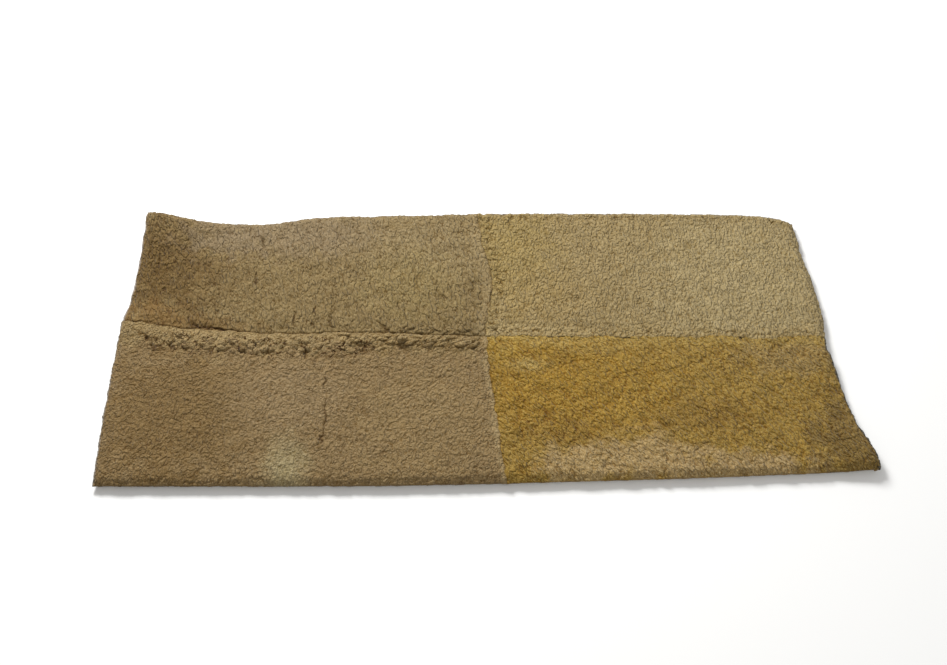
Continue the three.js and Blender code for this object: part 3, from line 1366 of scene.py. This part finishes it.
    @staticmethod
    def _weld(mesh: bpy.types.Mesh) -> None:
        """Merges the points that fall together at the corners of the skirt."""
        sheet = bmesh.new()
        sheet.from_mesh(mesh)
        bmesh.ops.remove_doubles(sheet, verts=sheet.verts, dist=WELD)
        sheet.to_mesh(mesh)
        sheet.free()

    def build_skin(self) -> bpy.types.Object:
        """Builds the skin under the wool, with its real thickness.

        Returns:
            The skin's object.
        """
        counts = (round(self.length / SKIN_PITCH), round(self.width / SKIN_PITCH))
        u, v = np.meshgrid(*(np.linspace(0, 1, count + 1) for count in counts), indexing="ij")
        mesh, _, _ = grid_mesh(f"skin_{self.place}", self._skin_points(u, v))
        sheet = bmesh.new()
        sheet.from_mesh(mesh)
        bmesh.ops.solidify(sheet, geom=sheet.faces[:], thickness=SKIN_THICKNESS)
        bmesh.ops.recalc_face_normals(sheet, faces=sheet.faces)
        sheet.to_mesh(mesh)
        sheet.free()
        skin = show(mesh, SkinFinish().material(f"tanned_skin_{self.place}"))
        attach(skin, "root")
        return skin


@dataclass(frozen=True)
class Lamp:
    """A soft square light that shines on the middle of the rug."""

    name: str
    place: tuple[float, float, float]
    side: float
    power: float

    def build(self) -> bpy.types.Object:
        """Hangs the light.

        Returns:
            The light's object.
        """
        light = bpy.data.lights.new(self.name, "AREA")
        light.energy = self.power
        light.size = self.side
        lamp = bpy.data.objects.new(self.name, light)
        lamp.location = self.place
        lamp.rotation_euler = (-Vector(self.place)).to_track_quat("-Z", "Y").to_euler()
        bpy.context.scene.collection.objects.link(lamp)
        return lamp


@dataclass
class Studio:
    """A pale floor, soft light, and the camera where the photograph was taken from."""

    floor_half: float = 4.0
    floor_z: float = -0.4 * MM
    floor_colour: Colour = (0.86, 0.86, 0.85)
    floor_roughness: float = 0.9
    sky: Colour = (1.0, 0.99, 0.97)
    sky_strength: float = 0.4
    eye: tuple[float, float, float] = (-0.0139, -1.089, 1.413)
    eye_down_deg: float = 51.97
    image_width: float = 947.0
    focal_pixels: float = 1050.0
    sensor_mm: float = 36.0
    lamps: tuple[Lamp, ...] = (
        Lamp("key_light", (-1.0, 1.9, 1.75), 1.0, 116.0),
        Lamp("fill_light", (0.8, -1.6, 2.2), 2.0, 16.0),
    )

    def build(self) -> None:
        """Sets up the floor, the lights and the camera."""
        self._floor()
        self._sky()
        for lamp in self.lamps:
            lamp.build()
        self._camera()

    def _floor(self) -> None:
        """Lays the floor just under the rug."""
        sheet = bmesh.new()
        bmesh.ops.create_grid(sheet, x_segments=8, y_segments=8, size=self.floor_half)
        bmesh.ops.translate(sheet, verts=sheet.verts, vec=(0.0, 0.0, self.floor_z))
        mesh = bpy.data.meshes.new("floor")
        sheet.to_mesh(mesh)
        sheet.free()
        material = bpy.data.materials.new("pale_floor")
        material.use_nodes = True
        paint = material.node_tree.nodes["Principled BSDF"]
        paint.inputs["Base Color"].default_value = (*self.floor_colour, 1.0)
        paint.inputs["Roughness"].default_value = self.floor_roughness
        show(mesh, material)

    def _sky(self) -> None:
        """Lights the scene evenly from all round."""
        world = bpy.data.worlds.new("studio")
        world.use_nodes = True
        glow = world.node_tree.nodes["Background"]
        glow.inputs["Color"].default_value = (*self.sky, 1.0)
        glow.inputs["Strength"].default_value = self.sky_strength
        bpy.context.scene.world = world
        bpy.context.scene.view_settings.view_transform = "Standard"

    def _camera(self) -> None:
        """Points the camera as the photograph's was."""
        data = bpy.data.cameras.new("camera")
        data.sensor_width = self.sensor_mm
        data.lens = self.focal_pixels / self.image_width * self.sensor_mm
        camera = bpy.data.objects.new("camera", data)
        camera.location = self.eye
        camera.rotation_euler = (math.radians(90.0 - self.eye_down_deg), 0.0, 0.0)
        bpy.context.scene.collection.objects.link(camera)
        bpy.context.scene.camera = camera


BROWN = tint("7f6c47")
STRAW = tint("948159")
TAUPE = tint("86704c")
GOLD = tint("967a3a")


def rim_locks(side: Side) -> LockRow:
    """Describes the small locks that stand out of a cut edge.

    Args:
        side: The side with the cut edge.

    Returns:
        The row of locks.
    """
    turn_deg = 0.0 if side in (Side.LEFT, Side.RIGHT) else 90.0
    return LockRow(
        side, inset=(4.0, 8.0), spacing=5.0, length=(8.0, 13.0), radius=(1.8, 2.8), turn_deg=turn_deg,
        bend=0.15, sunk=0.85,
    )


def seam_locks(side: Side, start: float, end: float) -> LockRow:
    """Describes the locks that crowd along the cross seam of the back row.

    Args:
        side: The side with the seam.
        start: Where the row starts, in from the seam, in millimetres.
        end: Where the row ends.

    Returns:
        The row of locks.
    """
    return LockRow(
        side, inset=(start, end), spacing=7.0, length=(10, 16), radius=(3.0, 4.2), turn_deg=90,
        turn_spread_deg=50, sunk=0.75,
    )


def rug_panels() -> list[Panel]:
    """Describes the rug's panels.

    Returns:
        The panels, from the back left one to the front right one.
    """
    back_left = Panel(
        place="back_left",
        slot="wool_brown",
        rims=(Side.LEFT, Side.BACK),
        colour=BROWN,
        seed=11,
        fleece=Fleece(
            lay_deg=102, clump=9.0, stretch=3.2, clump_height=0.8, crack_depth=1.2, crack_share=0.2,
            waver=1.4, grain_height=0.7, grain_shade=0.1,
        ),
        finish=WoolFinish(
            lay_deg=106, staple=7.0 * MM, staple_stretch=2.2, staple_shade=0.8, crease_stretch=1.6,
        ),
        seam_shade={Side.FRONT: 1.0, Side.RIGHT: 0.6},
        partings=(
            Parting(((-254, 12), (-257, 40), (-253, 74)), 1.5, 2.6),
            Parting(((-398, 184), (-392, 202), (-400, 222)), 1.1, 1.6),
            Parting(((-395, 108), (-398, 140)), 1.3, 2.0),
            Parting(((-318, 16), (-320, 52)), 1.2, 2.0),
            Parting(((-284, 14), (-288, 60)), 1.2, 2.0),
            Parting(((-500, 32), (-480, 14), (-420, 4)), 2.0, 3.0),
            Parting(((-174, 24), (-158, 8)), 1.8, 3.0),
        ),
        edge_tints={
            Side.LEFT: EdgeTint(tint("9a9087"), 3.2),
            Side.BACK: EdgeTint(tint("6e6350"), 2.6),
            Side.RIGHT: EdgeTint(tint("97845f"), 22.0, 0.45),
        },
        lock_rows=(
            rim_locks(Side.LEFT),
            rim_locks(Side.BACK),
            LockRow(
                Side.FRONT, inset=(4, 16), spacing=7.0, length=(14, 24), radius=(3.6, 5.0), turn_deg=10,
                bend=0.12, droop=0.4, sunk=0.3, underside_shade=1.0, shade_from=0.7, flat=0.9, start=0.76, stop=0.98,
            ),
            seam_locks(Side.RIGHT, 4, 16),
        ),
        blotches=(
            # Darker near the back left corner: partly the wool's own colour, partly painted shade of a low
            # valley there.
            Blotch(-570, 140, 110, 125, tint("5c441a"), 0.75, edge=0.9),
            Blotch(-472, 222, 60, 45, tint("7c6b4f"), 0.6),
            Blotch(-566, 34, 60, 32, tint("7c5f33"), 0.45),
            Blotch(-487, 17, 90, 22, tint("735a32"), 0.6),
            Blotch(-330, 228, 160, 50, tint("857459"), 0.7, edge=0.7),
            Blotch(-90, 190, 110, 90, tint("8c7a56"), 0.7, edge=0.7),
            Blotch(-125, 110, 80, 70, tint("87754a"), 0.6, edge=0.7),
        ),
    )
    back_right = Panel(
        place="back_right",
        slot="wool_straw",
        rims=(Side.RIGHT, Side.BACK),
        colour=STRAW,
        seed=23,
        fleece=Fleece(
            lay_deg=98, clump=8.0, stretch=2.2, clump_height=0.8, crack_depth=1.2, crack_share=0.2,
            waver=1.2, grain_height=0.7, grain_shade=0.1,
        ),
        finish=WoolFinish(
            lay_deg=98, staple=6.5 * MM, staple_stretch=1.7, staple_shade=0.8, crease_stretch=1.3,
        ),
        seam_shade={Side.FRONT: 0.3, Side.LEFT: 0.6},
        edge_tints={
            Side.FRONT: EdgeTint(tint("a28e63"), 30.0, 0.6),
            Side.BACK: EdgeTint(tint("7c7062"), 2.6),
        },
        lock_rows=(
            rim_locks(Side.RIGHT),
            rim_locks(Side.BACK),
            seam_locks(Side.LEFT, 4, 18),
            LockRow(
                Side.FRONT, inset=(3, 16), spacing=8.0, length=(9, 14), radius=(2.6, 3.8),
                turn_spread_deg=60, sunk=0.75,
            ),
        ),
        bands=(
            CurlBand(Side.BACK, start=3, end=26, lump=11, height=1.2, depth=1.8),
            CurlBand(Side.LEFT, start=3, end=24, lump=11, height=1.2, depth=1.8),
            CurlBand(Side.FRONT, start=2, end=18, lump=10, height=1.0, depth=1.4),
        ),
        blotches=(
            Blotch(50, 190, 75, 130, tint("95804b"), 0.6, edge=0.8),
            Blotch(110, 74, 80, 60, tint("957f52"), 0.5, edge=0.8),
            Blotch(470, 120, 150, 170, tint("a4936b"), 0.7, edge=0.7),
        ),
    )
    front_left = Panel(
        place="front_left",
        slot="wool_taupe",
        rims=(Side.LEFT, Side.FRONT),
        colour=TAUPE,
        seed=37,
        fleece=Fleece(
            lay_deg=80, clump=9.0, stretch=1.2, clump_height=0.9, crack_depth=1.1, crack_share=0.0,
            grain=4.6, grain_height=1.1, grain_shade=0.1,
        ),
        finish=WoolFinish(lay_deg=80, staple=7.0 * MM, staple_stretch=1.2, staple_shade=0.65),
        seam_shade={Side.BACK: 1.0, Side.RIGHT: 0.5},
        edge_tints={
            Side.BACK: EdgeTint(tint("968158"), 60.0, 0.7),
            Side.RIGHT: EdgeTint(tint("9d8861"), 13.0, 0.8),
            Side.LEFT: EdgeTint(tint("8b8174"), 3.0),
        },
        lock_rows=(
            rim_locks(Side.LEFT),
            rim_locks(Side.FRONT),
            LockRow(
                Side.BACK, inset=(14, 44), spacing=4.6, length=(16, 26), radius=(6.0, 8.5),
                turn_spread_deg=80, bend=0.12, droop=0.3, sunk=0.25, underside_shade=0.5, shade_from=0.6, flat=0.65,
                start=0.16, stop=0.64,
            ),
            LockRow(
                Side.BACK, inset=(7, 26), spacing=6.5, length=(24, 36), radius=(4.4, 5.6), turn_deg=14,
                turn_spread_deg=20, bend=0.12, droop=0.4, sunk=0.1, underside_shade=1.0, shade_from=0.7, flat=0.9,
                start=0.62, stop=0.97,
            ),
            LockRow(
                Side.BACK, inset=(20, 20), spacing=6.0, length=(15, 15), radius=(7.2, 7.2),
                turn_spread_deg=0, bend=0.0, droop=0.0, sunk=-0.35, underside_shade=0.5, shade_from=0.0, start=0.764,
                stop=0.774,
            ),
        ),
        bands=(
            CurlBand(
                Side.BACK, start=14, end=56, lump=13, height=1.6, depth=2.0, torn=1.0, x_from=-520.0,
                x_to=-190.0, x_fade=60.0,
            ),
            CurlBand(Side.BACK, start=5, end=38, lump=11, height=1.4, depth=2.0, torn=0.4, x_from=-200.0),
        ),
        partings=(
            Parting(((-258, -90), (-249, -135), (-249, -192), (-255, -225)), 1.3, 2.6),
            Parting(((-588, 6), (-566, -8), (-545, -34)), 1.6, 2.4),
            Parting(((-566, -8), (-548, -12), (-535, -36)), 1.3, 2.0),
        ),
        blotches=(
            Blotch(-503, -170, 120, 120, tint("745c34"), 0.65),
            Blotch(-310, -125, 90, 60, tint("8d7856"), 0.6),
            Blotch(-83, -173, 110, 110, tint("8f7952"), 0.6),
            Blotch(-303, -262, 30, 46, tint("9c8f6a"), 0.75, ragged=0.4, edge=0.9),
        ),
    )
    front_right = Panel(
        place="front_right",
        slot="wool_gold",
        rims=(Side.RIGHT, Side.FRONT),
        colour=GOLD,
        seed=53,
        fleece=Fleece(
            lay_deg=126, clump=9.0, stretch=3.2, clump_height=1.1, crack_depth=1.6, crack_share=0.2,
            crack_shade=0.45, grain=4.6, grain_stretch=2.0, grain_height=1.2, grain_shade=0.1, waver=1.4,
        ),
        finish=WoolFinish(
            lay_deg=126, staple=7.0 * MM, staple_stretch=2.0, staple_shade=0.8, staple_bump=3.4 * MM,
            fleck=1.8 * MM, fleck_power=(1.2, 0.84),
        ),
        mottle=0.1,
        seam_shade={Side.BACK: 0.3, Side.LEFT: 0.5},
        edge_tints={
            Side.BACK: EdgeTint(tint("a58b4c"), 30.0, 0.6),
            # A dark grey strip along the right rim: painted shadow under the rim.
            Side.RIGHT: EdgeTint(tint("56544c"), 4.0),
        },
        lock_rows=(rim_locks(Side.RIGHT), rim_locks(Side.FRONT)),
        blotches=(
            Blotch(85, -105, 90, 70, tint("927126"), 0.6),
            Blotch(39, -28, 42, 24, tint("9a7c34"), 0.8),
            Blotch(80, -66, 34, 14, tint("a8925a"), 0.85, ragged=0.35),
            Blotch(130, -183, 70, 40, tint("84672c"), 0.6),
            Blotch(346, -164, 90, 36, tint("866a30"), 0.6),
            Blotch(170, -110, 130, 80, tint("9a7a31"), 0.7),
            Blotch(150, -256, 62, 34, tint("a68e62"), 0.9),
            Blotch(255, -246, 80, 44, tint("a68e62"), 0.9),
            Blotch(400, -262, 120, 30, tint("a38b60"), 0.9),
            Blotch(575, -215, 55, 80, tint("745f36"), 0.7),
            Blotch(511, -45, 80, 40, tint("927b4d"), 0.7),
        ),
    )
    return [back_left, back_right, front_left, front_right]


def main() -> None:
    """Builds the rug and its surroundings, in order."""
    logging.basicConfig(level=logging.INFO, format="%(name)s: %(message)s")
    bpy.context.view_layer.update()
    studio = Studio()
    studio.build()
    for panel in rug_panels():
        for piece in (panel.build_wool(), panel.build_locks(), panel.build_skin()):
            LOG.info("%s: %d faces", piece.name, len(piece.data.polygons))


if __name__ == "__main__":
    main()
